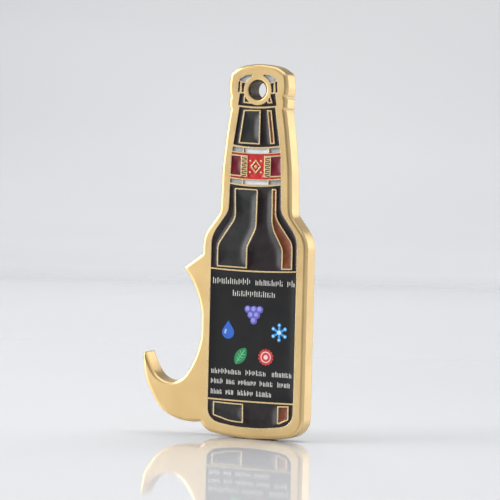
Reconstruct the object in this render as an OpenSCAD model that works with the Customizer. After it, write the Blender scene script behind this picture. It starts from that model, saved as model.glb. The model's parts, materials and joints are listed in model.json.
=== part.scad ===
// Souvenir bottle opener: a die-cast plate shaped as a bottle, with an opener claw on its
// left edge, enamel in sunken cells on its front, and a printed label.
// Front face towards -Y, +Z up the bottle, origin at the middle of the keyring bore.

/* [Casting] */
// Thickness, front face to back face
plate_t = 6; // [5:0.5:8]
// Radius of the rounded edge on both faces
edge_r = 1; // [0.6:0.1:1.1]
// Half of the bottle's width
body_hw = 14.9; // [14.7:0.1:15.4]
// Height of the bore's centre below the top of the cap
cap_top = 6.6; // [6.4:0.1:6.8]
// Depth of the bottle's foot below the bore's centre
foot_z = -89.8; // [-91:0.1:-89.4]

/* [Keyring bore] */
// Radius of the bore
bore_r = 2.2; // [2:0.05:2.4]
// Radius of its chamfered mouth, front and back
mouth_r = 2.7; // [2.5:0.05:2.9]
// Radius of the plain metal ring round the bore
boss_r = 3.9; // [3.8:0.05:4]

/* [Claw] */
// Radius of the long curve of the claw's opening
gape_r = 22; // [21.5:0.1:22.5]
// Radius of the throat at the bottom of the opening
throat_r = 5.75; // [5.5:0.05:6]
// Radius of the inside of the hook, up to its tip
hook_r = 27; // [26:0.5:30]

/* [Enamel and print] */
// Depth of the sunken cells
cell_depth = 0.8; // [0.7:0.05:0.8]
// How far the enamel lies below the metal
enamel_drop = 0.3; // [0.15:0.05:0.4]
// Thickness of the printed ink
ink_t = 0.05; // [0.03:0.01:0.05]
// Width of the raised metal lines between cells
line_w = 0.35; // [0.25:0.05:0.4]
// Depth of the sunken panel on the back
back_depth = 0.3; // [0.2:0.05:0.5]

/* [Hidden] */

$fn = 48;
front_y = -plate_t / 2;
over = 1;               // how far a cutter runs past the face it cuts
tip_share = 0.42;       // most of the claw's width that one side's rounding takes at its tips
arc_step = 12;          // degrees between points on a rounded corner

gold = "#D9BC80";
black = "#29272B";
grey = "#3C3B3D";
amber = "#83452B";
silver = "#A9ADB3";
white = "#E4E5E6";
red = "#C23A3C";
dark_red = "#6A1626";

// ---------- points ----------

function unit(v) = v / norm(v);
function flip(p) = [for (i = [len(p) - 1:-1:0]) p[i]];
function mirrored(p) = [for (q = p) [-q.x, q.y]];
function without_first(p) = [for (i = [1:len(p) - 1]) p[i]];
function arc(centre, r, from, to, n) =
    [for (i = [0:n]) let (a = from + (to - from) * i / n) centre + r * [cos(a), sin(a)]];

// The arc of radius r that rounds the corner at b, between a and c
function corner(a, b, c, r) =
    let (
        u = unit(a - b),
        w = unit(c - b),
        half = acos(u * w) / 2,
        centre = b + unit(u + w) * r / sin(half),
        start = b + u * r / tan(half) - centre,
        end = b + w * r / tan(half) - centre,
        turn = atan2(cross(start, end), start * end),
        n = max(1, ceil(abs(turn) / arc_step))
    )
    arc(centre, r, atan2(start.y, start.x), atan2(start.y, start.x) + turn, n);

// An outline from corners given as [x, z, radius]
function rounded(v) =
    let (n = len(v), p = [for (q = v) [q.x, q.y]])
    [for (i = [0:n - 1])
        each v[i][2] == 0 ? [p[i]] : corner(p[(i + n - 1) % n], p[i], p[(i + 1) % n], v[i][2])];

// A closed outline moved sideways, to the left of its direction, by d or by each point's own d
function shifted(p, d) =
    let (n = len(p))
    [for (i = [0:n - 1])
        let (
            e = unit(p[i] - p[(i + n - 1) % n]),
            f = unit(p[(i + 1) % n] - p[i]),
            far = is_list(d) ? d[i] : d,
            m = [-e.y - f.y, e.x + f.x]
        )
        p[i] + far * m / (1 + e * f)];

// A path's length up to point i, and n + 1 points spaced evenly along it
function run(p, i) = i == 0 ? 0 : run(p, i - 1) + norm(p[i] - p[i - 1]);
function point_at(p, s, i = 1) =
    let (d = norm(p[i] - p[i - 1]))
    s <= d || i == len(p) - 1 ? p[i - 1] + (p[i] - p[i - 1]) * min(1, s / d) : point_at(p, s - d, i + 1);
function spaced(p, n) =
    let (whole = run(p, len(p) - 1))
    [for (i = [0:n]) point_at(p, whole * i / n)];

// A line across the bottle that sags in the middle, left to right
function draped(hw, z, sag, n = 10) =
    [for (i = [0:n]) let (x = hw * (2 * i / n - 1)) [x, z - sag * (1 - pow(x / hw, 2))]];

// ---------- outlines ----------

// Right half of the bottle, top to foot
bottle_half = rounded([
    [1.2, cap_top, 0],
    [5.2, cap_top - 0.55, 6],
    [7.95, cap_top - 2.45, 1.8],
    [8.4, 1, 6],
    [8.15, -1.35, 0],
    [7.85, -1.8, 0],
    [8.15, -2.3, 0],
    [8.15, -4.6, 0],
    [7.8, -5.1, 0],
    [8.05, -5.7, 0],
    [8.75, -10.5, 20],
    [9.8, -20, 40],
    [10.15, -31.6, 4],
    [body_hw, -37.9, 8],
    [body_hw, foot_z + 1.55, 5],
    [7.3, foot_z + 0.4, 30],
    [1, foot_z, 0]
]);

// The claw's opening: a long curve, the throat and the hook's inside, tooth to tip
gape_c = [0.2 - body_hw - gape_r, -61];
gape_end = -36;
throat_c = gape_c + (gape_r - throat_r) * [cos(gape_end), sin(gape_end)];
throat_end = -148;
hook_c = throat_c - (hook_r - throat_r) * [cos(throat_end), sin(throat_end)];
hook_end = -159.4;
opening = concat(
    arc(gape_c, gape_r, 41, gape_end, 18),
    without_first(arc(throat_c, throat_r, gape_end, throat_end, 14)),
    without_first(arc(hook_c, hook_r, throat_end, hook_end, 4))
);
tooth_tip = opening[0];
hook_tip = opening[len(opening) - 1];

// The claw's other side: the tooth's top, its root inside the bottle, and the hook's back
root_x = 3.4 - body_hw;
tooth_slope = 0.71;
claw_back = rounded([
    [tooth_tip.x - 0.25, tooth_tip.y + 0.2, 0],
    [root_x, tooth_tip.y + 0.2 + (root_x - tooth_tip.x + 0.25) * tooth_slope, 0],
    [root_x, -85.9, 0],
    [-18.6, -86.8, 14],
    [-26.2, -84.4, 10],
    [-31.3, -75.5, 14],
    [hook_tip.x - 0.9, hook_tip.y - 0.7, 0]
]);

claw_pairs = 48;
claw_outer = spaced(claw_back, claw_pairs);
claw_inner = spaced(opening, claw_pairs);

// Inside edges of the metal border
neck_top_hw = 5.05;
neck_foot_hw = 6.55;
shoulder_top_hw = 7.2;
label_hw = 12.15;

// Sagging lines across the bottle: [half width, height at the ends, sag]
collar_foot = [5.45, -3.95, 0.3];
neck_top = [neck_top_hw, -4.35, 0.4];
neck_foot = [neck_foot_hw, -14.1, 0.5];
upper_band_top = [6.6, -14.55, 0.5];
upper_band_foot = [6.75, -15.7, 0.5];
red_top = [6.85, -16.0, 0.4];
red_upper_line = [6.9, -16.5, 0.35];
dark_red_top = [6.95, -16.85, 0.35];
dark_red_foot = [7.1, -21.7, 0.3];
red_lower_line = [7.1, -22.05, 0.35];
red_foot = [7.15, -22.45, 0.4];
lower_band_top = [7.15, -22.8, 0.4];
lower_band_foot = [7.2, -23.85, 0.4];
shoulder_top = [shoulder_top_hw, -24.2, 0.6];
shoulder_foot = [label_hw, -45.95, 0.35];
label_top = [label_hw, -46.3, 0.4];
label_foot = [label_hw, -79.75, 0.15];
foot_top = [label_hw - 0.05, -80.15, 0.15];

function line_of(l) = draped(l[0], l[1], l[2]);

// The shoulder field's right side, top to bottom
shoulder_side = rounded([
    [shoulder_top_hw, shoulder_top[1], 0],
    [7.4, -31.2, 5],
    [12.1, -37.6, 7],
    [label_hw, shoulder_foot[1], 0]
]);

// Outsides of the raised lines that frame the inner panels
collar_left_frame = [[-3.8, -1], [-3.95, -3.4], [-1.2, -3.6], [-1.2, -1]];
collar_right_frame = [[2.75, -1], [2.8, -3.4], [4.35, -3.35], [3.5, -1]];
neck_panel_frame = [[-3.75, -5.1], [-5.05, -13.75], [1, -13.95], [1.05, -5.1]];
neck_amber_frame = [[2.8, -5.1], [3.95, -13.8], [5.25, -13.7], [4.1, -5.1]];
shoulder_panel_frame = flip(rounded([
    [-5.85, -25.2, 0.5], [0.8, -25.4, 0.5], [0.65, -35.4, 6], [-1.8, -40.3, 3],
    [-1.8, -45.85, 0], [-10.45, -45.65, 0], [-10.45, -39.9, 4], [-5.6, -32.9, 4]
]));
shoulder_amber_frame = flip(rounded([
    [4.7, -25.15, 0.5], [6.05, -25.15, 0.5], [6.1, -32.6, 5], [10.95, -39.1, 4],
    [10.95, -45.65, 0], [7.9, -45.8, 0], [7.9, -40.6, 3], [4.8, -34.9, 8]
]));
foot_panel_frame = flip(rounded([
    [-10.6, -80.55, 0], [-6, -80.7, 0], [-1.95, -80.75, 0],
    [-1.85, -85.75, 0], [-5.6, -85.6, 12], [-10.6, -84.25, 0.6]
]));
foot_amber_frame = flip(rounded([
    [7.75, -80.7, 0], [10.95, -80.5, 0], [10.95, -84.1, 0.6], [8.4, -85.35, 0.6], [7.75, -85.35, 0]
]));

// ---------- solids ----------

// How far the rounded edge draws the outline in at a depth below the face
function edge_inset(depth) =
    depth >= edge_r ? 0 : edge_r - sqrt(pow(edge_r, 2) - pow(edge_r - depth, 2));

// The whole outline, bottle and claw together, drawn in by the rounded edge
module outline(inset) {
    reach = [for (i = [0:claw_pairs]) min(inset, tip_share * norm(claw_outer[i] - claw_inner[i]))];
    polygon(shifted(concat(bottle_half, flip(mirrored(bottle_half))), -inset));
    polygon(shifted(concat(claw_outer, flip(claw_inner)), [for (r = concat(reach, flip(reach))) -r]));
}

// A flat shape drawn in x and z, from one depth below the front face to another
module layer(top, bottom) {
    translate([0, front_y + bottom, 0])
        rotate([90, 0, 0])
            linear_extrude(bottom - top)
                children();
}

module enamel() {
    layer(enamel_drop, cell_depth) children();
}

module ink() {
    layer(enamel_drop - ink_t, enamel_drop) children();
}

module on_side(side) {
    if (side < 0) mirror([1, 0]) children();
    else children();
}

// ---------- flat shapes of the cells ----------

module boss() {
    circle(boss_r);
}

// A framed panel's cell: its frame, less the raised line
module framed(frame) {
    polygon(shifted(frame, line_w));
}

module cap_crescent(side) {
    on_side(side)
        difference() {
            polygon([[1.6, 3.9], [3.2, 3.7], [4.3, 3.25], [5.3, 2.6], [4.95, 2.3], [3.3, 1.9], [1.6, 3.2]]);
            boss();
        }
}

module cap_slot_outer(side) {
    on_side(side) polygon([[4.9, 2.1], [5.4, 2.25], [5.6, -0.55], [5.1, -0.55]]);
}

module cap_slot_inner(side) {
    on_side(side)
        difference() {
            polygon([[3, 1.6], [4.5, 1.85], [4.45, -0.6], [3, -0.6]]);
            boss();
        }
}

module collar_shape() {
    difference() {
        polygon(concat([[5, -0.95], [-5, -0.95]], line_of(collar_foot)));
        boss();
        polygon(collar_left_frame);
        polygon(collar_right_frame);
    }
}

module collar_cell(frame) {
    difference() {
        framed(frame);
        boss();
    }
}

module neck_shape() {
    difference() {
        polygon(concat(line_of(neck_foot), flip(line_of(neck_top))));
        polygon(neck_panel_frame);
        polygon(neck_amber_frame);
    }
}

// The part of a band between two sagging lines that lies from x = a to x = b
module band_cell(top, bottom, a, b) {
    tall = top[1] - bottom[1] + 3;
    intersection() {
        polygon(concat(line_of(bottom), flip(line_of(top))));
        translate([a, bottom[1] - 2]) square([b - a, tall]);
    }
}

divider_x = 3.6;
band_inner = divider_x - line_w / 2;
band_outer = divider_x + line_w / 2;
band_end = 8;
red_hw = 2.35;
hatch_hw = 4.25;

module band_side(top, bottom, side) {
    on_side(side) band_cell(top, bottom, band_outer, band_end);
}

module lozenge(hw, hh) {
    polygon([[0, hh], [hw, 0], [0, -hh], [-hw, 0]]);
}

// A raised lozenge and four beads, which stand in the middle of the red enamel
module red_ornament() {
    translate([0, (red_upper_line[1] + red_lower_line[1]) / 2 - red_upper_line[2]]) {
        difference() {
            lozenge(1.55, 1.8);
            lozenge(1.1, 1.28);
        }
        lozenge(0.5, 0.6);
        for (x = [-1.55, 1.55], z = [-1.45, 1.45]) translate([x, z]) circle(0.28);
    }
}

module red_shape() {
    difference() {
        union() {
            band_cell(red_top, red_foot, -red_hw, red_hw);
            band_cell(red_top, red_upper_line, -band_end, band_end);
            band_cell(red_lower_line, red_foot, -band_end, band_end);
        }
        red_ornament();
    }
}

module dark_red(side) {
    on_side(side) band_cell(dark_red_top, dark_red_foot, hatch_hw, band_end);
}

// Slanted cuts that leave a zigzag of raised strokes between the reds
hatch_count = 10;
hatch_top = -17.5;
hatch_pitch = 0.5;
hatch_cut = [1.4, 0.2];
hatch_tilt = 8;
module hatching(side) {
    on_side(side)
        for (i = [0:hatch_count - 1])
            translate([(red_hw + hatch_hw) / 2, hatch_top - hatch_pitch * i])
                rotate(i % 2 == 0 ? hatch_tilt : -hatch_tilt)
                    square(hatch_cut, center = true);
}

module shoulder_shape() {
    difference() {
        polygon(concat(
            flip(line_of(shoulder_top)),
            without_first(mirrored(shoulder_side)),
            without_first(line_of(shoulder_foot)),
            without_first(flip(without_first(shoulder_side)))
        ));
        polygon(shoulder_panel_frame);
        polygon(shoulder_amber_frame);
    }
}

module label_shape() {
    polygon(concat(line_of(label_foot), flip(line_of(label_top))));
}

module foot_shape() {
    right = rounded([
        [foot_top[0], foot_top[1], 0],
        [12.1, foot_z + 4.5, 3.6],
        [5.5, foot_z + 3.1, 26],
        [0, foot_z + 3, 0]
    ]);
    difference() {
        polygon(concat(
            flip(line_of(foot_top)),
            without_first(mirrored(right)),
            without_first(flip(without_first(right)))
        ));
        polygon(foot_panel_frame);
        polygon(foot_amber_frame);
    }
}

// The sunken panel on the back follows the bottle inside a plain rim
module back_panel_shape() {
    right = rounded([
        [5, -8.5, 0.8], [7, -24, 20], [7.5, -32.3, 4], [12.3, -38.6, 7],
        [12.3, -85.5, 3.5], [0, -86.7, 0]
    ]);
    polygon(concat(right, without_first(flip(mirrored(right)))));
}

// ---------- print on the label ----------

// Runs of blocks that stand for words: each word is [start, end] along x
module words(list, z, tall, pitch) {
    for (w = list) {
        n = max(1, round((w[1] - w[0]) / pitch));
        wide = (w[1] - w[0]) / n;
        for (i = [0:n - 1])
            translate([w[0] + wide * (i + 0.5), z])
                square([wide * 0.66, tall], center = true);
    }
}

module petals(n, at, r) {
    for (i = [0:n - 1]) rotate(360 * i / n) translate([0, at]) circle(r);
}

// ---------- sub-parts ----------

// Every cell that enamel fills, at its own place on the front
module all_cells() {
    for (side = [-1, 1]) {
        cap_crescent(side);
        cap_slot_outer(side);
        cap_slot_inner(side);
        band_side(upper_band_top, upper_band_foot, side);
        band_side(lower_band_top, lower_band_foot, side);
        dark_red(side);
    }
    collar_shape();
    collar_cell(collar_left_frame);
    collar_cell(collar_right_frame);
    neck_shape();
    framed(neck_panel_frame);
    framed(neck_amber_frame);
    band_cell(upper_band_top, upper_band_foot, -band_inner, band_inner);
    red_shape();
    band_cell(lower_band_top, lower_band_foot, -band_inner, band_inner);
    shoulder_shape();
    framed(shoulder_panel_frame);
    framed(shoulder_amber_frame);
    label_shape();
    foot_shape();
    framed(foot_panel_frame);
    framed(foot_amber_frame);
}

module casting() {
    half_cell = cell_depth / 2;
    color(gold)
        difference() {
            union() {
                layer(0, half_cell)
                    difference() {
                        outline(edge_inset(half_cell / 2));
                        all_cells();
                        for (side = [-1, 1]) hatching(side);
                    }
                layer(half_cell, cell_depth)
                    difference() {
                        outline(edge_inset(cell_depth - half_cell / 2));
                        all_cells();
                    }
                layer(cell_depth, plate_t - 2 * back_depth) outline(0);
                layer(plate_t - 2 * back_depth, plate_t - back_depth)
                    outline(edge_inset(back_depth * 1.5));
                layer(plate_t - back_depth, plate_t)
                    difference() {
                        outline(edge_inset(back_depth / 2));
                        back_panel_shape();
                    }
            }
            rotate([90, 0, 0]) cylinder(h = plate_t + 2 * over, r = bore_r, center = true);
            for (turn = [90, -90])
                rotate([turn, 0, 0])
                    translate([0, 0, plate_t / 2 - mouth_r + bore_r])
                        cylinder(h = over, r1 = bore_r, r2 = bore_r + over);
        }
}

module cap_crescent_left() { color(silver) enamel() cap_crescent(-1); }
module cap_crescent_right() { color(silver) enamel() cap_crescent(1); }
module cap_slot_outer_left() { color(black) enamel() cap_slot_outer(-1); }
module cap_slot_inner_left() { color(black) enamel() cap_slot_inner(-1); }
module cap_slot_inner_right() { color(black) enamel() cap_slot_inner(1); }
module cap_slot_outer_right() { color(black) enamel() cap_slot_outer(1); }
module collar_field() { color(black) enamel() collar_shape(); }
module collar_cell_left() { color(grey) enamel() collar_cell(collar_left_frame); }
module collar_cell_right() { color(amber) enamel() collar_cell(collar_right_frame); }
module neck_field() { color(black) enamel() neck_shape(); }
module neck_panel() { color(grey) enamel() framed(neck_panel_frame); }
module neck_amber_strip() { color(amber) enamel() framed(neck_amber_frame); }
module upper_band_left() { color(silver) enamel() band_side(upper_band_top, upper_band_foot, -1); }
module upper_band_right() { color(silver) enamel() band_side(upper_band_top, upper_band_foot, 1); }
module lower_band_left() { color(silver) enamel() band_side(lower_band_top, lower_band_foot, -1); }
module lower_band_right() { color(silver) enamel() band_side(lower_band_top, lower_band_foot, 1); }
module upper_band_middle() {
    color(white) enamel() band_cell(upper_band_top, upper_band_foot, -band_inner, band_inner);
}
module lower_band_middle() {
    color(white) enamel() band_cell(lower_band_top, lower_band_foot, -band_inner, band_inner);
}
module red_middle() { color(red) enamel() red_shape(); }
module dark_red_left() { color(dark_red) enamel() dark_red(-1); }
module dark_red_right() { color(dark_red) enamel() dark_red(1); }
module shoulder_field() { color(black) enamel() shoulder_shape(); }
module shoulder_panel() { color(grey) enamel() framed(shoulder_panel_frame); }
module shoulder_amber_panel() { color(amber) enamel() framed(shoulder_amber_frame); }
module label_enamel() { color(black) enamel() label_shape(); }
module foot_field() { color(black) enamel() foot_shape(); }
module foot_panel() { color(grey) enamel() framed(foot_panel_frame); }
module foot_amber_panel() { color(amber) enamel() framed(foot_amber_frame); }

module heading_print() {
    color(white)
        ink() {
            words([[-11.7, -0.8], [0.4, 8.4], [9.4, 11.8]], -49.4, 1.3, 1.2);
            words([[-6, 6.3]], -52.4, 1.3, 1.2);
        }
}

module footnote_print() {
    color(white)
        ink() {
            words([[-11.6, -2.9], [-1.8, 4.2], [5.7, 11.5]], -72.8, 1.1, 0.95);
            words([[-11.6, -8], [-7.2, -4.6], [-3.8, 1.5], [2.3, 6.2], [7.3, 11.1]], -75.4, 1.1, 0.95);
            words([[-11.6, -8.2], [-7.3, -4.9], [-3.9, 0.7], [1.4, 5.9]], -78.1, 1.1, 0.95);
        }
}

// A bunch of grapes
module grape_print() {
    color("#6A69B8")
        ink()
            translate([0.3, -56.3])
                for (row = [0:2], i = [0:2 - row])
                    translate([1.7 * (i - (2 - row) / 2), -1.45 * row]) circle(0.95);
}

// A drop of water
module drop_print() {
    color("#3F6FD0")
        ink()
            translate([-6.9, -62.5]) {
                circle(1.7);
                polygon([[1.47, 0.85], [0, 3], [-1.47, 0.85]]);
            }
}

// An ice crystal
module crystal_print() {
    color("#4FA6E0")
        ink()
            translate([7.6, -61.9])
                for (turn = [0:60:120])
                    rotate(turn) {
                        square([0.6, 4.2], center = true);
                        for (end = [-1, 1]) translate([0, 1.9 * end]) circle(0.5);
                    }
}

// A hop leaf
module leaf_print() {
    color("#2F9160")
        ink()
            translate([-3.2, -68.5])
                rotate(-35)
                    intersection() {
                        translate([1.5, 0]) circle(3);
                        translate([-1.5, 0]) circle(3);
                    }
}

// A crown cap
module crown_print() {
    color("#C4393B")
        ink()
            translate([4, -68.4]) {
                circle(1.85);
                petals(14, 1.8, 0.36);
            }
}

casting();
cap_crescent_left();
cap_crescent_right();
cap_slot_outer_left();
cap_slot_inner_left();
cap_slot_inner_right();
cap_slot_outer_right();
collar_field();
collar_cell_left();
collar_cell_right();
neck_field();
neck_panel();
neck_amber_strip();
upper_band_left();
upper_band_middle();
upper_band_right();
red_middle();
dark_red_left();
dark_red_right();
lower_band_left();
lower_band_middle();
lower_band_right();
shoulder_field();
shoulder_panel();
shoulder_amber_panel();
label_enamel();
foot_field();
foot_panel();
foot_amber_panel();
heading_print();
footnote_print();
grape_print();
drop_print();
crystal_print();
leaf_print();
crown_print();
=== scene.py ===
"""Souvenir bottle opener: the looks of its gold casting, its enamels and its print.

Lengths are in millimetres until a mesh is made, and outlines are points (x, z) seen from the front.
"""
import json
import math

import bpy
import numpy as np
from mathutils import Matrix, Vector
from mathutils.bvhtree import BVHTree
from mathutils.geometry import delaunay_2d_cdt

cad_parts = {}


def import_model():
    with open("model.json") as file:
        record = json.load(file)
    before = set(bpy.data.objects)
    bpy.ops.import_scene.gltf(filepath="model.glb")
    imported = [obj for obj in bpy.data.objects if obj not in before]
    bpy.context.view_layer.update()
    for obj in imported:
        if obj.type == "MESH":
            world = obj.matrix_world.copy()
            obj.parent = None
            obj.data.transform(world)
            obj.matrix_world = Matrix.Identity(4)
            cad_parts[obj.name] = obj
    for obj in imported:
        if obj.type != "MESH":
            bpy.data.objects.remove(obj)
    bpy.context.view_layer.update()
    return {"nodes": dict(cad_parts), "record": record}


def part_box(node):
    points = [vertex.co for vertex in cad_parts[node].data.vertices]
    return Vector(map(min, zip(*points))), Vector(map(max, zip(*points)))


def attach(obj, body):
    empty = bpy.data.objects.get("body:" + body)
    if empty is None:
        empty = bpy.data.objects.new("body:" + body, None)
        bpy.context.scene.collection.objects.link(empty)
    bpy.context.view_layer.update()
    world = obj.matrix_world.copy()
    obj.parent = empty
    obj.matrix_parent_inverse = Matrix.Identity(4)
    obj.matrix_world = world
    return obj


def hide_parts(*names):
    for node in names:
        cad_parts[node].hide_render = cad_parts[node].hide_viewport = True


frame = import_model()

MM = 0.001
STEP = 0.3                # spacing of points along an outline
SHARP = math.radians(24)  # an outline that turns more than this at a point has a corner there
CUT_SHARE = 0.42          # the most of an edge that rounding a corner takes from it
ARC_TURN = math.radians(14)    # the most that a rounded corner turns from one point to the next

FRONT, BACK = (corner.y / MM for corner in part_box("casting"))
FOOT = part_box("casting")[0].z / MM
FLOOR_OF_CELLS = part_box("label_enamel")[1].y / MM
ENAMEL_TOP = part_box("label_enamel")[0].y / MM

# Roundings of the casting: across its thickness, then in plan.
EDGE_R = 1.0              # its outer edges
LINE_R = 0.07             # the raised lines' edges
PANEL_R = 0.15            # the rim round the sunken panel on the back
MOUTH_SOFT = 0.1          # the edge between a face and the bore's chamfer
MOUTH_REACH = 1.0         # how far from that edge its softening ends
CORNER_R = 0.14           # the cells' corners, in plan
SLIT_CORNER_R = 0.05      # the narrow cuts' corners, in plan
TIP_R = 0.45              # the casting's own corners, in plan
PANEL_CORNER_R = 0.5      # the back panel's corners, in plan

# Wear of the plating and a painted highlight on the edges: how far it reaches from a raised line's
# edge, and for the worn, painted-bright band near the outer edges, its share, where it lies and half
# its width.
LINE_WEAR_AND_HIGHLIGHT = 0.16
RIM_WEAR_AND_HIGHLIGHT, RIM_WEAR_AND_HIGHLIGHT_AT, RIM_WEAR_AND_HIGHLIGHT_REACH = 0.5, 0.25, 0.35

# Enamel and print. Heights are above the CAD model's flat enamel, or below it where they sag.
ENAMEL_DROP = ENAMEL_TOP - FRONT
CLIMB, LOW_CLIMB = 0.12, -0.1    # height of full and of sparing fills at the metal
SAG, LABEL_SAG = 0.26, 0.06      # how far enamel and label would sink, far from any wall
MENISCUS = 0.85           # length over which the enamel's skin settles away from a wall
SETTLING = 500            # rounds in which the enamel's skin settles
INK_SUNK = 0.01           # how far print reaches into what it lies on
INK_T = 0.04              # thickness of the print
STROKE = 0.22             # width of the strokes that stand for printed words
WORD_SEED = 7             # of the draws that make the strokes uneven

# Points of the meshes: spacing along small outlines, distances from an edge at which extra points
# lie, pitch and margin of the grid between, and how close together points may be.
SLIT_STEP, MARK_STEP = 0.2, 0.15
LINE_RINGS = 0.02, 0.07
MOUTH_RINGS = 0.15, 0.3, 0.4, 0.45, 0.5, 0.58, 0.7, 0.9
WALL_RINGS = 0.05, 0.12, 0.22, 0.36, 0.55
METAL_GRID, ENAMEL_GRID = (1.6, 0.6), (0.45, 0.65)
METAL_GAP, ENAMEL_GAP = 0.03, 0.04


# ---------- outlines ----------

def area(p):
    x, z = p[:, 0], p[:, 1]
    return 0.5 * float(np.sum(x * np.roll(z, -1) - np.roll(x, -1) * z))


def loops_at(node, depth, side=-1):
    """The closed outlines of a CAD node's flat faces at y = depth that look along side * Y.
    Seen from the front, the outer ones run counterclockwise and the holes clockwise."""
    mesh = frame["nodes"][node].data
    after = {}
    for face in mesh.polygons:
        corners = [mesh.vertices[i].co / MM for i in face.vertices]
        if face.normal.y * side < 0.9 or any(abs(c.y - depth) > 0.01 for c in corners):
            continue
        keys = [(round(c.x, 4), round(c.z, 4)) for c in corners]
        if side > 0:
            keys.reverse()
        for a, b in zip(keys, keys[1:] + keys[:1]):
            if a in after.get(b, ()):
                after[b].remove(a)
            else:
                after.setdefault(a, []).append(b)
    found = []
    for first in sorted(after):
        while after[first]:
            loop, here = [], first
            while not loop or here != first:
                loop.append(here)
                here = after[here].pop()
            found.append(np.array(loop))
    return found


def edges_of(p):
    """Each edge's unit direction and length, edge i running from point i to the next."""
    e = np.roll(p, -1, 0) - p
    length = np.linalg.norm(e, axis=1)
    return e / length[:, None], length


def turns_of(p):
    """How far the outline turns at each point, and to which side."""
    u, _ = edges_of(p)
    before = np.roll(u, 1, 0)
    return np.arctan2(before[:, 0] * u[:, 1] - before[:, 1] * u[:, 0], np.sum(before * u, axis=1))


def without_corners(p, r):
    """The outline with each corner cut back and rounded."""
    u, length = edges_of(p)
    turn = turns_of(p)
    rounded = []
    for i, here in enumerate(p):
        if abs(turn[i]) < SHARP:
            rounded.append(here)
            continue
        cut = min(r * math.tan(abs(turn[i]) / 2), CUT_SHARE * min(length[i], length[i - 1]))
        start, end = here - u[i - 1] * cut, here + u[i] * cut
        count = max(3, math.ceil(abs(turn[i]) / ARC_TURN))
        for t in np.linspace(0, 1, count + 1):
            rounded.append((1 - t) ** 2 * start + 2 * t * (1 - t) * here + t * t * end)
    return np.array(rounded)


def smoothed(p, r=CORNER_R, step=STEP):
    """A closed outline with rounded corners and with curves through its points, at an even spacing."""
    p = p[edges_of(p)[1] > 1e-3]
    p = without_corners(p, r)
    p = p[edges_of(p)[1] > 1e-4]
    u, length = edges_of(p)
    before, length_before = np.roll(u, 1, 0), np.roll(length, 1)
    tangent = before * length[:, None] + u * length_before[:, None]
    tangent = np.where((length_before > 2 * length)[:, None], before, tangent)
    tangent = np.where((length > 2 * length_before)[:, None], u, tangent)
    tangent /= np.linalg.norm(tangent, axis=1)[:, None]
    fine = []
    for i in range(len(p)):
        j = (i + 1) % len(p)
        for t in np.linspace(0, 1, max(1, math.ceil(length[i] / step)), endpoint=False):
            a, b = (1 + 2 * t) * (1 - t) ** 2, t * t * (3 - 2 * t)
            c, d = t * (1 - t) ** 2 * length[i], t * t * (t - 1) * length[i]
            fine.append(a * p[i] + b * p[j] + c * tangent[i] + d * tangent[j])
    return np.array(fine)


def outward(p):
    """The direction square to the outline at each point, to the right of its run."""
    u, _ = edges_of(p)
    n = u + np.roll(u, 1, 0)
    n = np.stack([n[:, 1], -n[:, 0]], 1)
    return n / np.linalg.norm(n, axis=1)[:, None]


def circle(r, count=72):
    a = np.linspace(0, 2 * math.pi, count, endpoint=False)
    return np.stack([r * np.cos(a), r * np.sin(a)], 1)


# ---------- flat areas ----------

class Walls:
    """Finds the nearest point on a set of closed outlines."""

    def __init__(self, loops):
        points, faces = [], []
        for p in loops:
            n, first = len(p), len(points)
            points += [(x, y, z) for x, z in p for y in (-1, 1)]
            for i in range(n):
                a, b = first + 2 * i, first + 2 * ((i + 1) % n)
                faces.append((a, a + 1, b + 1, b))
        self.tree = BVHTree.FromPolygons(points, faces)

    def near(self, points):
        """Each point's distance to the outlines, and the unit direction towards them."""
        distance, towards = np.zeros(len(points)), np.zeros((len(points), 2))
        for i, (x, z) in enumerate(points):
            hit, _, _, d = self.tree.find_nearest(Vector((x, 0, z)))
            distance[i] = d
            if d > 1e-6:
                towards[i] = (hit.x - x) / d, (hit.z - z) / d
        return distance, towards


def inside(points, loops):
    """Whether each point lies inside an odd number of the outlines."""
    odd = np.zeros(len(points), bool)
    for p in loops:
        near = np.flatnonzero(np.all((points > p.min(0)) & (points < p.max(0)), axis=1))
        q = np.roll(p, -1, 0)
        rise = np.where(q[:, 1] == p[:, 1], 1, q[:, 1] - p[:, 1])
        lean = (q[:, 0] - p[:, 0]) / rise
        x, z = points[near, 0:1], points[near, 1:2]
        crossed = ((p[:, 1] > z) != (q[:, 1] > z)) & (x < p[:, 0] + (z - p[:, 1]) * lean)
        odd[near] ^= np.count_nonzero(crossed, axis=1) % 2 == 1
    return odd


def ring_points(loops, walls, rings, step=STEP):
    """Points at set distances from the outlines, on both sides and round their tight bends,
    less those that lie nearer to another stretch of outline."""
    found = []
    for d in rings:
        spokes = circle(d, max(8, math.ceil(2 * math.pi * d / step)))
        near = []
        for p in loops:
            near += [p + d * outward(p), p - d * outward(p)]
            bends = p[np.abs(turns_of(p)) > math.radians(8)]
            near += [bends + spoke for spoke in spokes]
        near = np.concatenate(near)
        found.append(near[walls.near(near)[0] > 0.97 * d])
    return np.concatenate(found)


def thinned(points, gap):
    """The points, less those that share a cell of a fine grid with an earlier one."""
    _, keep = np.unique(np.round(points / gap).astype(int), axis=0, return_index=True)
    return points[np.sort(keep)]


def grid_points(loops, walls, pitch, margin):
    """A regular grid of points that keeps a margin from the outlines."""
    every = np.concatenate(loops)
    low, high = every.min(0), every.max(0)
    x, z = np.meshgrid(np.arange(low[0], high[0], pitch), np.arange(low[1], high[1], pitch))
    x = x + (np.arange(len(x)) % 2)[:, None] * pitch / 2
    points = np.stack([x.ravel(), z.ravel()], 1)
    points = points[inside(points, loops)]
    if not len(points):
        return points
    return points[walls.near(points)[0] > margin]


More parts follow.
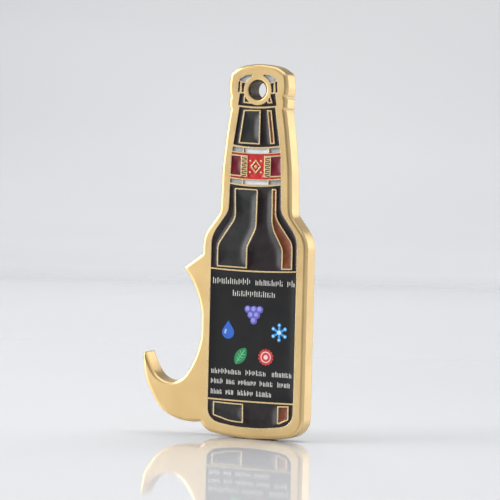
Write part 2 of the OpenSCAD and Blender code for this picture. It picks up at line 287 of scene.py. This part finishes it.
def enclosed(faces, walls):
    """Whether each face lies inside an odd number of outlines. Beyond an edge with one face
    is the outside, and each wall on the way in is one more outline. Walls are edges, as pairs
    of points with the lower number first."""
    sides = {}
    for number, (a, b, c) in enumerate(faces):
        for edge in ((a, b), (b, c), (c, a)):
            sides.setdefault(tuple(sorted(edge)), []).append(number)
    beside = [[] for _ in faces]
    outlines = [None] * len(faces)
    waiting = []
    for edge, touching in sides.items():
        if len(touching) == 2:
            beside[touching[0]].append((touching[1], edge in walls))
            beside[touching[1]].append((touching[0], edge in walls))
        elif outlines[touching[0]] is None:
            outlines[touching[0]] = int(edge in walls)
            waiting.append(touching[0])
    while waiting:
        number = waiting.pop()
        for other, wall in beside[number]:
            if outlines[other] is None:
                outlines[other] = outlines[number] + wall
                waiting.append(other)
    return np.array([n % 2 == 1 for n in outlines])


def filled(loops, extra=None):
    """Points and triangles over the area inside an odd number of outlines.
    The outlines' own points come first, in order."""
    points = fixed = np.concatenate(loops)
    edges, first = [], 0
    for p in loops:
        edges += [(first + i, first + (i + 1) % len(p)) for i in range(len(p))]
        first += len(p)
    if extra is not None:
        points = np.concatenate([fixed, extra[inside(extra, loops)]])
    made, made_edges, faces, origin, edge_origin, _ = delaunay_2d_cdt(
        [Vector(p) for p in points], edges, [], 0, 1e-7)
    walls = {tuple(sorted(e)) for e, source in zip(made_edges, edge_origin) if source}
    new_index = {old: new for new, olds in enumerate(origin) for old in olds}
    order = [new_index[i] for i in range(len(fixed))]
    taken = set(order)
    rest = [i for i in range(len(made)) if i not in taken]
    place = {new: i for i, new in enumerate(order + rest)}
    flat = np.array([made[i] for i in order + rest])
    triangles = np.array([[place[i] for i in f] for f in faces])
    return flat, triangles[enclosed(faces, walls)]


# ---------- solids ----------

class Solid:
    """A closed mesh in the making: points, faces, and a normal for each corner of each face."""

    def __init__(self):
        self.points, self.faces, self.normals, self.shine, self.slots = [], [], [], [], []
        self.count = 0

    def add_points(self, points, shine=0.0):
        first = self.count
        self.points.append(points)
        self.shine.append(np.full(len(points), shine) if np.isscalar(shine) else shine)
        self.count += len(points)
        return first

    def add_faces(self, faces, normals, slot=0):
        self.faces += [tuple(int(i) for i in f) for f in faces]
        self.normals += [tuple(n) for face in normals for n in face]
        self.slots += [slot] * len(faces) if np.isscalar(slot) else [int(i) for i in slot]

    def surface(self, flat, triangles, depth, normals, side, shine=0.0, slot=0):
        """A triangulated area at its own depths. side is -1 where it looks forward, 1 back."""
        first = self.add_points(np.stack([flat[:, 0], depth, flat[:, 1]], 1), shine)
        faces = triangles if side < 0 else triangles[:, ::-1]
        self.add_faces(faces + first, normals[faces], slot)
        return first

    def wall(self, loop, low, high, slot=0):
        """Quads that join one outline's points on two surfaces, looking to the right of its run.
        low and high are its first index on the surface nearer the front and nearer the back."""
        n = len(loop)
        normal = outward(loop)
        normal = np.stack([normal[:, 0], np.zeros(n), normal[:, 1]], 1)
        i = np.arange(n)
        j = (i + 1) % n
        self.add_faces(
            np.stack([high + i, high + j, low + j, low + i], 1), normal[np.stack([i, j, j, i], 1)], slot
        )

    def piece(self, name, nodes, slot, *materials):
        mesh = bpy.data.meshes.new(name)
        points = np.concatenate(self.points) * MM
        mesh.from_pydata(points.tolist(), [], self.faces)
        mesh.polygons.foreach_set("use_smooth", [True] * len(self.faces))
        mesh.polygons.foreach_set("material_index", self.slots)
        mesh.normals_split_custom_set(self.normals)
        shine = mesh.attributes.new("shine", "FLOAT", "POINT")
        shine.data.foreach_set("value", np.concatenate(self.shine).astype(np.float32))
        for material in materials:
            mesh.materials.append(material)
        piece = bpy.data.objects.new(name, mesh)
        bpy.context.scene.collection.objects.link(piece)
        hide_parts(*nodes)
        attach(piece, "root")
        return piece


def tilted(tangential, side):
    """Unit normals from their share in x and z, looking to the side that the surface faces."""
    long = np.linalg.norm(tangential, axis=1)
    share = np.minimum(long, 0.9999)
    t = tangential * (share / np.maximum(long, 1e-9))[:, None]
    return np.stack([t[:, 0], side * np.sqrt(1 - share ** 2), t[:, 1]], 1)


def rounding(distance, towards, r):
    """Depth and tilt of an edge of radius r at each point's distance from it."""
    t = np.clip((r - distance) / r, 0, 1)
    return r - r * np.sqrt(1 - t ** 2), towards * t[:, None]


def smooth_normals(points, triangles):
    a, b, c = (points[triangles[:, i]] for i in range(3))
    face = np.cross(b - a, c - a)
    normals = np.zeros_like(points)
    for i in range(3):
        np.add.at(normals, triangles[:, i], face)
    return normals / np.maximum(np.linalg.norm(normals, axis=1), 1e-12)[:, None]


# ---------- what the CAD model says ----------

ENAMELS = [
    n for n in sorted(frame["nodes"])
    if n != "casting" and not n.endswith("_print")
]
PRINTS = [n for n in sorted(frame["nodes"]) if n.endswith("_print")]
slot_of = {s["node"]: s["material_slot"] for s in frame["record"]["subparts"]}

# The depths of the casting's points, front to back. The narrow cuts end at the first one behind the
# front with flat faces, and the back panel lies at the last one before the back.
levels = sorted({round(v.co.y / MM, 3) for v in frame["nodes"]["casting"].data.vertices})
SLIT_FLOOR = next(y for y in levels[1:] if loops_at("casting", y))
PANEL_FLOOR = next(y for y in levels[-2::-1] if loops_at("casting", y, 1))
whole_outline = max((p for y in levels if y > 0 for p in loops_at("casting", y, 1)), key=area)
outline = smoothed(whole_outline, TIP_R)
back_panel = smoothed(min(loops_at("casting", BACK, 1), key=area)[::-1], PANEL_CORNER_R)
rough_cells = {n: loops_at(n, ENAMEL_TOP) for n in ENAMELS}
cells = {n: [smoothed(p) for p in loops] for n, loops in rough_cells.items()}

# The bore's axis runs through the origin, so of the holes in the front its mouth is the one there.
front_holes = [p for p in loops_at("casting", FRONT) if area(p) < 0]
mouth = min(front_holes, key=lambda p: np.linalg.norm(p.mean(0)))
MOUTH_R = float(np.linalg.norm(mouth, axis=1).mean())
BORE_R = next(m for m in frame["record"]["mounts"] if m["name"] == "keyring_hole")["dims"]["r_mm"]
bore = circle(BORE_R)


def is_cell(p):
    """Whether a hole in the front is as wide and tall as an enamel's outline, in the same place."""
    box = np.array([p.min(0), p.max(0)])
    return any(
        np.abs(box - np.array([q.min(0), q.max(0)])).max() < 0.02
        for loops in rough_cells.values() for q in loops
    )


slits = [
    smoothed(p[::-1], SLIT_CORNER_R, SLIT_STEP)
    for p in front_holes if p is not mouth and not is_cell(p)
]


# ---------- materials ----------

class Nodes:
    """Short calls for building a material's nodes."""

    def __init__(self, name):
        self.material = bpy.data.materials.new(name)
        self.material.use_nodes = True
        self.tree = self.material.node_tree
        self.shader = self.tree.nodes["Principled BSDF"]

    def add(self, kind, inputs=(), **settings):
        node = self.tree.nodes.new("ShaderNode" + kind)
        for key, value in settings.items():
            setattr(node, key, value)
        for key, value in dict(inputs).items():
            if isinstance(value, bpy.types.NodeSocket):
                self.tree.links.new(value, node.inputs[key])
            else:
                node.inputs[key].default_value = value
        return node

    def set(self, **inputs):
        for key, value in inputs.items():
            socket = self.shader.inputs[key.replace("_", " ")]
            if isinstance(value, bpy.types.NodeSocket):
                self.tree.links.new(value, socket)
            else:
                socket.default_value = value

    def place(self):
        return self.add("TexCoord").outputs["Object"]

    def noise(self, size_mm, detail=2.0, roughness=0.5, stretch=(1, 1, 1)):
        """Noise whose features are about size_mm across."""
        moved = self.add("Mapping", {"Vector": self.place(), "Scale": stretch})
        made = self.add("TexNoise", {
            "Vector": moved.outputs["Vector"], "Scale": 1 / (size_mm * MM),
            "Detail": detail, "Roughness": roughness,
        })
        return made.outputs["Fac"]

    def spread(self, value, low, high, start=0.0, end=1.0):
        """value's range from start to end, carried over to the range from low to high."""
        made = self.add("MapRange", {
            "Value": value, "From Min": start, "From Max": end, "To Min": low, "To Max": high,
        }, interpolation_type="SMOOTHSTEP")
        return made.outputs["Result"]

    def mix(self, share, a, b):
        made = self.add("Mix", data_type="RGBA")
        for socket, value in zip((made.inputs[0], made.inputs[6], made.inputs[7]), (share, a, b)):
            if isinstance(value, bpy.types.NodeSocket):
                self.tree.links.new(value, socket)
            else:
                socket.default_value = value if isinstance(value, float) else (*value, 1.0)
        return made.outputs[2]

    def bumps(self, *layers):
        """Bump nodes one on another, each given as (height socket, depth in mm)."""
        normal = None
        for height, depth in layers:
            inputs = {"Height": height, "Distance": depth * MM, "Strength": 1.0}
            if normal is not None:
                inputs["Normal"] = normal
            normal = self.add("Bump", inputs).outputs["Normal"]
        self.set(Normal=normal)


def linear(code):
    """An sRGB colour code as linear red, green and blue."""
    parts = [int(code[i:i + 2], 16) / 255 for i in (1, 3, 5)]
    return tuple(c / 12.92 if c <= 0.04045 else ((c + 0.055) / 1.055) ** 2.4 for c in parts)


def gold_plating():
    """Satin gold plate, faintly brushed upwards, worn smoother along the raised lines' edges and the
    rim, and paler there, which is partly wear and partly a painted highlight.
    """
    n = Nodes("gold_plating")
    drift = n.noise(9, 3)
    grain = n.noise(0.16, 3, 0.6)
    brushed = n.noise(0.3, 3, 0.65, (1, 1, 0.14))
    shine = n.add("Attribute", attribute_name="shine").outputs["Fac"]
    colour = n.mix(n.spread(drift, 0, 1, 0.2, 0.8), GOLD_DEEP, GOLD_PALE)
    # Paler gold on the lines' edges and the rim: partly worn plating, partly a painted highlight.
    colour = n.mix(n.spread(shine, 0, 0.7), colour, GOLD_WORN_LIT)
    n.set(Base_Color=colour, Metallic=1.0)
    matte = n.spread(drift, 0.30, 0.40, 0.2, 0.8)
    rough = n.add("Math", {0: matte, 1: n.spread(shine, 0, -0.12)}, operation="ADD")
    n.set(Roughness=rough.outputs[0])
    n.bumps((brushed, 0.002), (grain, 0.0012), (n.noise(3.5, 1), 0.012))
    return n.material


def bare_metal_and_shade():
    """Dark metal inside the bore, the cells and the narrow cuts: metal that the plating hardly reached,
    made darker as painted shade for these recesses.
    """
    n = Nodes("bare_metal_and_shade")
    patches = n.spread(n.noise(0.8, 3), 0, 1, 0.35, 0.65)
    n.set(Base_Color=n.mix(patches, BARE_SHADE_DARK, BARE_SHADE_PALE))
    n.set(Metallic=0.7, Roughness=n.spread(n.noise(0.4, 2), 0.38, 0.55, 0.3, 0.7))
    n.bumps((n.noise(0.2, 2), 0.002))
    return n.material


def glossy_enamel(name, dark, pale):
    """Hard glossy enamel: clouded pigment under a smooth, slightly wavy surface."""
    n = Nodes(name)
    cloud = n.noise(2.2, 3, 0.55)
    n.set(Base_Color=n.mix(n.spread(cloud, 0, 1, 0.3, 0.7), dark, pale))
    n.set(Roughness=n.spread(n.noise(5, 2), 0.05, 0.11, 0.3, 0.7), IOR=1.52, Specular_IOR_Level=0.5)
    n.bumps((n.noise(1.6, 2), 0.008), (n.noise(0.35, 2), 0.0004))
    return n.material


def label_surface():
    """The label's enamel, smoother and less glossy than the others."""
    n = Nodes("label_enamel")
    cloud = n.noise(4, 3)
    n.set(Base_Color=n.mix(n.spread(cloud, 0, 1, 0.3, 0.7), linear("#0f0f10"), linear("#161617")))
    n.set(Roughness=n.spread(n.noise(0.25, 3), 0.17, 0.25, 0.3, 0.7), IOR=1.5, Specular_IOR_Level=0.4)
    n.bumps((n.noise(0.12, 2), 0.0012), (n.noise(5, 1), 0.02))
    return n.material


def printed_ink(name, code, darker=0.82):
    """Screen-printed ink: its colour, a little thinner in places, with the mesh's fine grain."""
    n = Nodes(name)
    colour = linear(code)
    thin = tuple(c * darker for c in colour)
    n.set(Base_Color=n.mix(n.spread(n.noise(0.5, 3, 0.6), 0, 1, 0.35, 0.65), thin, colour))
    n.set(Roughness=n.spread(n.noise(0.2, 2), 0.38, 0.5, 0.3, 0.7), IOR=1.48)
    n.bumps((n.noise(0.1, 2), 0.002))
    return n.material


GOLD_DEEP, GOLD_PALE, GOLD_WORN_LIT = (0.80, 0.56, 0.25), (0.84, 0.61, 0.29), (0.93, 0.72, 0.42)
# Colours of the dark metal in the recesses: painted shade, on metal that the plating hardly reached.
BARE_SHADE_DARK, BARE_SHADE_PALE = (0.045, 0.03, 0.018), (0.11, 0.075, 0.045)
gold, bare_and_shade = gold_plating(), bare_metal_and_shade()
ENAMEL_MATERIALS = {
    "black_enamel": glossy_enamel("black_enamel", linear("#120a0b"), linear("#21161a")),
    "grey_enamel": glossy_enamel("grey_enamel", linear("#202020"), linear("#2a2a2a")),
    "amber_enamel": glossy_enamel("amber_enamel", linear("#5e2d14"), linear("#7c4223")),
    "silver_enamel": glossy_enamel("silver_enamel", linear("#949a9a"), linear("#aeb4b4")),
    "white_enamel": glossy_enamel("white_enamel", linear("#d4d8db"), linear("#e6e9eb")),
    "red_enamel": glossy_enamel("red_enamel", linear("#a81d20"), linear("#c42c2e")),
    "dark_red_enamel": glossy_enamel("dark_red_enamel", linear("#520a15"), linear("#741626")),
    "label_enamel": label_surface(),
}
INK_CODES = {
    "white_ink": "#cfcdc8", "violet_ink": "#5f5db4", "blue_ink": "#2f62c4", "sky_ink": "#3796dc",
    "green_ink": "#23824f", "red_ink": "#c4393b",
}
LIGHTER_CODES = {
    "violet_ink": "#9a98e2", "blue_ink": "#9fc0f2", "sky_ink": "#bfe4fa",
    "green_ink": "#6fcf98", "red_ink": "#f3d2ce",
}
INK_MATERIALS = {slot: printed_ink(slot, code) for slot, code in INK_CODES.items()}
LIGHTER_MATERIALS = {slot: printed_ink("lighter_" + slot, code) for slot, code in LIGHTER_CODES.items()}


# ---------- the casting ----------

def bevel(r, *degrees):
    """Distances from an edge of radius r at which its rounding has turned by so many degrees."""
    return [r * (1 - math.cos(math.radians(a))) for a in degrees]


def chamfer(flat):
    """Depth and tilt of the bore's chamfered mouth, softened where it meets the face."""
    radius = np.linalg.norm(flat, axis=1)
    into = MOUTH_R - radius
    root = np.sqrt(into ** 2 + MOUTH_SOFT ** 2)
    slope = 0.5 * (1 + into / root)
    near = radius < MOUTH_R + MOUTH_REACH
    share = np.where(near, slope / np.sqrt(1 + slope ** 2), 0)
    towards = -flat / np.maximum(radius, 1e-9)[:, None]
    return np.where(near, 0.5 * (into + root), 0), towards * share[:, None]


def face_of_casting(solid, cuts, cut_r, rings, side):
    """The casting's front or back: its rounded edge, the edges of its cuts and the bore's mouth.
    An attribute says where handling has worn the plating and where a highlight is painted paler: on the
    lines and the rim."""
    loops = [outline, *cuts, bore[::-1]]
    every = Walls(loops)
    extra = np.concatenate([
        ring_points([outline], every, bevel(EDGE_R, 22, 38, 54, 70, 90)),
        ring_points(cuts, every, rings),
        *[circle(BORE_R + d) for d in MOUTH_RINGS],
        grid_points(loops, every, *METAL_GRID),
    ])
    flat, triangles = filled(loops, thinned(extra, METAL_GAP))
    to_edge, edge_way = Walls([outline]).near(flat)
    to_cut, cut_way = Walls(cuts).near(flat)
    edge_way[:len(outline)] = outward(outline)
    first = len(outline)
    for p in cuts:
        cut_way[first:first + len(p)] = outward(p)
        first += len(p)
    depths, tilts = zip(
        rounding(to_edge, edge_way, EDGE_R), rounding(to_cut, cut_way, cut_r), chamfer(flat)
    )
    depth = sum(depths)
    plane = FRONT if side < 0 else BACK
    # A band near the outer edge and the lines' edges are made paler: partly wear, partly a painted
    # highlight.
    band = RIM_WEAR_AND_HIGHLIGHT * np.exp(-((to_edge - RIM_WEAR_AND_HIGHLIGHT_AT) / RIM_WEAR_AND_HIGHLIGHT_REACH) ** 2)
    shine = np.clip(np.exp(-to_cut / LINE_WEAR_AND_HIGHLIGHT) + band, 0, 1)
    # The chamfer inside the bore's mouth takes the dark second material: painted shade.
    in_mouth = np.linalg.norm(flat[triangles].mean(1), axis=1) < MOUTH_R - 0.05
    return solid.surface(
        flat, triangles, plane - side * depth, tilted(sum(tilts), side), side, shine,
        in_mouth.astype(int),
    )


def casting():
    """The whole casting: both faces, the outer edge, every sunken floor with its walls, the bore."""
    solid = Solid()
    cuts = [p for n in ENAMELS for p in cells[n]] + slits
    front = face_of_casting(solid, [p[::-1] for p in cuts], LINE_R, LINE_RINGS, -1)
    back = face_of_casting(solid, [back_panel[::-1]], PANEL_R, bevel(PANEL_R, 30, 60, 90), 1)
    solid.wall(outline, front, back)
    at = front + len(outline)
    # Every sunken floor and its walls, and the bore's wall below, take the dark second material:
    # painted shade for these recesses.
    sunken = [(cells[n], FLOOR_OF_CELLS) for n in ENAMELS] + [([p], SLIT_FLOOR) for p in slits]
    for loops, floor_at in sunken:
        flat, triangles = filled([p[::-1] for p in loops])
        ahead = np.tile((0.0, -1.0, 0.0), (len(flat), 1))
        low = solid.surface(flat, triangles, np.full(len(flat), floor_at), ahead, -1, slot=1)
        for p in loops:
            solid.wall(p[::-1], at, low, 1)
            at += len(p)
            low += len(p)
    solid.wall(bore[::-1], at, back + len(outline) + len(back_panel), 1)
    grid = grid_points([back_panel], Walls([back_panel]), *METAL_GRID)
    flat, triangles = filled([back_panel[::-1]], grid)
    behind = np.tile((0.0, 1.0, 0.0), (len(flat), 1))
    low = solid.surface(flat, triangles, np.full(len(flat), PANEL_FLOOR), behind, 1)
    solid.wall(back_panel[::-1], low, back + len(outline))
    solid.piece("casting_gold", ["casting"], slot_of["casting"], gold, bare_and_shade)


# ---------- enamel and print ----------

def meniscus(flat, triangles, fixed, at_wall, middle):
    """The depth of a liquid's skin that clings to the walls: the first points' depth is at_wall,
    and the others settle towards middle over the length MENISCUS."""
    pairs = np.concatenate([triangles[:, [0, 1]], triangles[:, [1, 2]], triangles[:, [2, 0]]])
    pairs = np.unique(np.sort(pairs, axis=1), axis=0)
    a, b = pairs.T
    weight = 1 / np.maximum(np.sum((flat[a] - flat[b]) ** 2, axis=1), 1e-6)
    n = len(flat)
    count = np.bincount(a, minlength=n) + np.bincount(b, minlength=n)
    scale = 4 * MENISCUS ** 2 / np.maximum(count, 1)
    total = np.bincount(a, weight, n) + np.bincount(b, weight, n)
    depth = np.full(n, middle)
    depth[:fixed] = at_wall
    for _ in range(SETTLING):
        pull = np.bincount(a, weight * depth[b], n) + np.bincount(b, weight * depth[a], n)
        depth = (middle + scale * pull) / (1 + scale * total)
        depth[:fixed] = at_wall
    return depth


def closed(solid, flat, triangles, loops, top, bottom, slot=0):
    """A solid between a curved top and a flat bottom, over an area whose outlines come first."""
    skin = np.stack([flat[:, 0], top, flat[:, 1]], 1)
    first = solid.surface(flat, triangles, top, smooth_normals(skin, triangles), -1, slot=slot)
    behind = np.tile((0.0, 1.0, 0.0), (len(flat), 1))
    under = solid.surface(flat, triangles, np.full(len(flat), bottom), behind, 1, slot=slot)
    for p in loops:
        solid.wall(p, first, under, slot)
        first += len(p)
        under += len(p)


def enamel(node):
    """One enamel fill. Returns its skin, for print to be laid on."""
    loops = cells[node]
    walls = Walls(loops)
    extra = np.concatenate([
        ring_points(loops, walls, WALL_RINGS),
        grid_points(loops, walls, *ENAMEL_GRID),
    ])
    flat, triangles = filled(loops, thinned(extra, ENAMEL_GAP))
    climb = LOW_CLIMB if slot_of[node] in ("silver_enamel", "white_enamel") else CLIMB
    sag = LABEL_SAG if node == "label_enamel" else SAG
    depth = meniscus(flat, triangles, sum(map(len, loops)), ENAMEL_DROP - climb, ENAMEL_DROP + sag)
    solid = Solid()
    closed(solid, flat, triangles, loops, FRONT + depth, FLOOR_OF_CELLS)
    solid.piece(node + "_fill", [node], slot_of[node], ENAMEL_MATERIALS[slot_of[node]])
    skin = np.stack([flat[:, 0], FRONT + depth, flat[:, 1]], 1)
    return BVHTree.FromPolygons(skin.tolist(), triangles.tolist())


def disc(x, z, r):
    """A round outline about a place."""
    return circle(r, max(10, math.ceil(r * 24))) + (x, z)


def blade(start, end, width):
    """A slim outline from one point to another, round at its ends."""
    start, end = np.array(start), np.array(end)
    along = (end - start) / np.linalg.norm(end - start)
    across = np.array([-along[1], along[0]]) * width / 2
    box = np.array([start - across, end - across, end + across, start + across])
    return smoothed(box, width, MARK_STEP)


def word_strokes(blocks):
    """Strokes and dots of uneven height in place of each word's blocks: they read as fine print
    from afar and spell nothing."""
    draw = np.random.default_rng(WORD_SEED)
    marks = []
    for block in blocks:
        (left, foot), (right, top) = block.min(0), block.max(0)
        left, right = left + STROKE / 2, right - STROKE / 2
        tall = top - foot
        kind, rise = draw.integers(4), draw.uniform(0.95, 1.3)
        marks.append(blade((left, foot), (left, foot + tall * rise), STROKE))
        if kind == 0:
            marks.append(blade((right, foot), (right, foot + 0.8 * tall), STROKE))
        elif kind == 1:
            marks.append(blade((right, foot), (right, foot + 0.5 * tall), STROKE))
            marks.append(disc(right, foot + 0.85 * tall, STROKE / 2))
        elif kind == 2:
            marks.append(blade((right, foot + 0.3 * tall), (right, foot + 0.95 * tall), STROKE))
        else:
            marks.append(blade((right, foot), (right, foot + tall), STROKE))
    return marks


# Each of these makes the lighter marks on a pictogram, from its middle and its size.

def grape_lights(middle, size):
    """A light on each berry, a little up and to the left of its middle."""
    berry_r, light_r = 0.95, 0.58
    left, up = 0.12, 0.15
    across, down = (size - 2 * berry_r) / 2
    first_row = middle[1] + size[1] / 2 - berry_r
    return [
        disc(middle[0] + across * (i - (2 - row) / 2) - left, first_row - down * row + up, light_r)
        for row in range(3) for i in range(3 - row)
    ]


def drop_lights(middle, size):
    low = middle - size / 2
    return [blade(low + (0.75, 1.3), low + (1.15, 2.5), 0.5)]


def crystal_lights(middle, size):
    reach = size[1] / 2 - 0.5
    turns = np.radians(np.arange(90, 450, 60))
    tips = [middle + (reach * math.cos(a), reach * math.sin(a)) for a in turns]
    return [disc(*middle, 0.55)] + [disc(*tip, 0.26) for tip in tips]


def leaf_lights(middle, _size):
    lean = math.radians(55)
    along = np.array([math.cos(lean), math.sin(lean)])
    across = np.array([-math.sin(lean), math.cos(lean)])
    veins = [blade(middle - 2.1 * along, middle + 2.0 * along, 0.22)]
    for at in (-1.2, -0.3, 0.6):
        for side in (-1, 1):
            end = middle + along * (at + 0.55) + side * across * (1.0 - 0.25 * abs(at))
            veins.append(blade(middle + along * at + side * across * 0.18, end, 0.17))
    return veins


def crown_lights(middle, _size):
    return [disc(*middle, 1.45), disc(*middle, 1.2)[::-1], disc(*middle, 0.6)]


LIGHTS = {
    "grape_print": grape_lights, "drop_print": drop_lights, "crystal_print": crystal_lights,
    "leaf_print": leaf_lights, "crown_print": crown_lights,
}


def laid_on(skin, solid, loops, lift, slot):
    """A film of print over an area, which follows the skin of the enamel under it."""
    flat, triangles = filled(loops)
    depth = np.array([skin.find_nearest(Vector((x, ENAMEL_TOP, z)))[0].y for x, z in flat])
    closed(solid, flat, triangles, loops, depth - lift - INK_T, depth - lift + INK_SUNK, slot)


def printed(node, skin):
    """One group of print: a pictogram with its lighter marks, or words as rows of strokes."""
    found = loops_at(node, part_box(node)[0].y / MM)
    solid = Solid()
    slot = slot_of[node]
    inks = [INK_MATERIALS[slot]]
    if node in LIGHTS:
        inks.append(LIGHTER_MATERIALS[slot])
        every = np.concatenate(found)
        low, high = every.min(0), every.max(0)
        laid_on(skin, solid, [smoothed(p, 0.1, MARK_STEP) for p in found], 0, 0)
        laid_on(skin, solid, LIGHTS[node]((low + high) / 2, high - low), INK_T, 1)
    else:
        laid_on(skin, solid, word_strokes(found), 0, 0)
    solid.piece(node + "_ink", [node], slot, *inks)


casting()
skins = {name: enamel(name) for name in ENAMELS}
for name in PRINTS:
    printed(name, skins["label_enamel"])


# ---------- floor, light and camera ----------

# The photographer's place round the object, and the point in the middle of the picture.
AZIMUTH, ELEVATION, ROLL = (math.radians(a) for a in (25.42, 2.49, 1.4))
TARGET = Vector((-1.06, FRONT, -41.04)) * MM
DISTANCE = 638.2 * MM
LENS, SENSOR = 179.0, 36.0

# The room's light, and two zones of it: azimuth and elevation, then the angles from there at which
# the zone begins and is complete.
ROOM_COLOUR, ROOM_LIGHT = (0.94, 0.945, 0.96, 1), 0.6
DARK_ZONE, DARK_SHARE = (14, 0, 38, 16), 0.3
GLOW_ZONE, GLOW = (-70, 6, 42, 6), 4.4

FLOOR_DARK, FLOOR_PALE = (0.41, 0.415, 0.43), (0.45, 0.455, 0.465)


def direction(azimuth, elevation):
    """From the object towards a place round it: azimuth 0 is in front, 90 on its right."""
    return Vector((
        math.sin(azimuth) * math.cos(elevation), -math.cos(azimuth) * math.cos(elevation),
        math.sin(elevation),
    ))


def camera():
    """The photographer's camera, which leans a little to one side."""
    back = direction(AZIMUTH, ELEVATION)
    right = Vector((math.cos(AZIMUTH), math.sin(AZIMUTH), 0))
    up = back.cross(right)
    turned_right = right * math.cos(ROLL) + up * math.sin(ROLL)
    turned_up = up * math.cos(ROLL) - right * math.sin(ROLL)
    made = bpy.data.objects.new("camera", bpy.data.cameras.new("camera"))
    bpy.context.scene.collection.objects.link(made)
    made.data.lens, made.data.sensor_width = LENS, SENSOR
    made.data.clip_start, made.data.clip_end = 0.01, 100
    place = Matrix((turned_right, turned_up, back)).transposed().to_4x4()
    place.translation = TARGET + back * DISTANCE
    made.matrix_world = place
    bpy.context.scene.camera = made


def softbox(name, azimuth, elevation, distance, width, height, power):
    """A rectangular light that looks at the target and isn't seen by the camera."""
    light = bpy.data.lights.new(name, "AREA")
    light.shape, light.size, light.size_y = "RECTANGLE", width, height
    light.energy = power
    made = bpy.data.objects.new(name, light)
    bpy.context.scene.collection.objects.link(made)
    way = direction(math.radians(azimuth), math.radians(elevation))
    made.location = TARGET + way * distance
    made.rotation_euler = way.to_track_quat("Z", "Y").to_euler()
    made.visible_camera = False
    return made


def floor_material():
    n = Nodes("studio_floor")
    n.set(Base_Color=n.mix(n.spread(n.noise(400, 1), 0, 1, 0.3, 0.7), FLOOR_DARK, FLOOR_PALE))
    n.set(Roughness=n.spread(n.noise(60, 2), 0.035, 0.06, 0.3, 0.7), IOR=1.45)
    return n.material


def studio():
    """A pale glossy floor that turns up into a backdrop behind the object."""
    ahead = Vector((-math.sin(AZIMUTH), math.cos(AZIMUTH), 0))
    right = Vector((math.cos(AZIMUTH), math.sin(AZIMUTH), 0))
    ground = FOOT * MM
    near_end, flat_behind, bend, wall_top, half_width = -3.0, 0.7, 0.9, 3.5, 4.0
    profile = [(near_end, 0.0), (flat_behind, 0.0)]
    for a in np.radians(np.arange(5, 91, 5)):
        profile.append((flat_behind + bend * math.sin(a), bend * (1 - math.cos(a))))
    profile.append((flat_behind + bend, wall_top))
    points = [
        ahead * y + right * x + Vector((0, 0, ground + z))
        for y, z in profile for x in (-half_width, half_width)
    ]
    faces = [(2 * i, 2 * i + 1, 2 * i + 3, 2 * i + 2) for i in range(len(profile) - 1)]
    mesh = bpy.data.meshes.new("studio_floor")
    mesh.from_pydata(points, [], faces)
    mesh.polygons.foreach_set("use_smooth", [True] * len(faces))
    mesh.materials.append(floor_material())
    made = bpy.data.objects.new("studio_floor", mesh)
    bpy.context.scene.collection.objects.link(made)


def world():
    """A soft bright room: brighter to the left of the object, darker round the photographer."""
    made = bpy.data.worlds.new("studio")
    made.use_nodes = True
    tree = made.node_tree
    sight = tree.nodes.new("ShaderNodeTexCoord").outputs["Generated"]

    def zone(azimuth, elevation, begins, complete, outside, within):
        """The value outside, turning smoothly to the value within, round a direction."""
        towards = tree.nodes.new("ShaderNodeVectorMath")
        towards.operation = "DOT_PRODUCT"
        towards.inputs[1].default_value = direction(math.radians(azimuth), math.radians(elevation))
        tree.links.new(sight, towards.inputs[0])
        turning = tree.nodes.new("ShaderNodeMapRange")
        turning.interpolation_type = "SMOOTHSTEP"
        values = (math.cos(math.radians(begins)), math.cos(math.radians(complete)), outside, within)
        for name, value in zip(("From Min", "From Max", "To Min", "To Max"), values):
            turning.inputs[name].default_value = value
        tree.links.new(towards.outputs["Value"], turning.inputs["Value"])
        return turning.outputs["Result"]

    total = tree.nodes.new("ShaderNodeMath")
    total.operation = "ADD"
    tree.links.new(zone(*DARK_ZONE, ROOM_LIGHT, DARK_SHARE * ROOM_LIGHT), total.inputs[0])
    tree.links.new(zone(*GLOW_ZONE, 0, GLOW), total.inputs[1])
    background = tree.nodes["Background"]
    background.inputs["Color"].default_value = ROOM_COLOUR
    tree.links.new(total.outputs[0], background.inputs["Strength"])
    bpy.context.scene.world = made
    bpy.context.scene.view_settings.view_transform = "Standard"


camera()
studio()
world()
# Name, azimuth, elevation, distance, width, height and power.
softbox("overhead", 10, 78, 1.0, 1.2, 1.0, 3.2)
softbox("key_left", -50, 35, 0.9, 0.4, 0.4, 5.0).visible_glossy = False
softbox("left_high", -90, 32, 0.9, 0.4, 0.35, 2.6)
softbox("rim_right", 152, 14, 0.9, 0.3, 0.5, 0.8)
softbox("backdrop_wash", 180, 60, 1.6, 2.0, 1.0, 30).visible_glossy = False
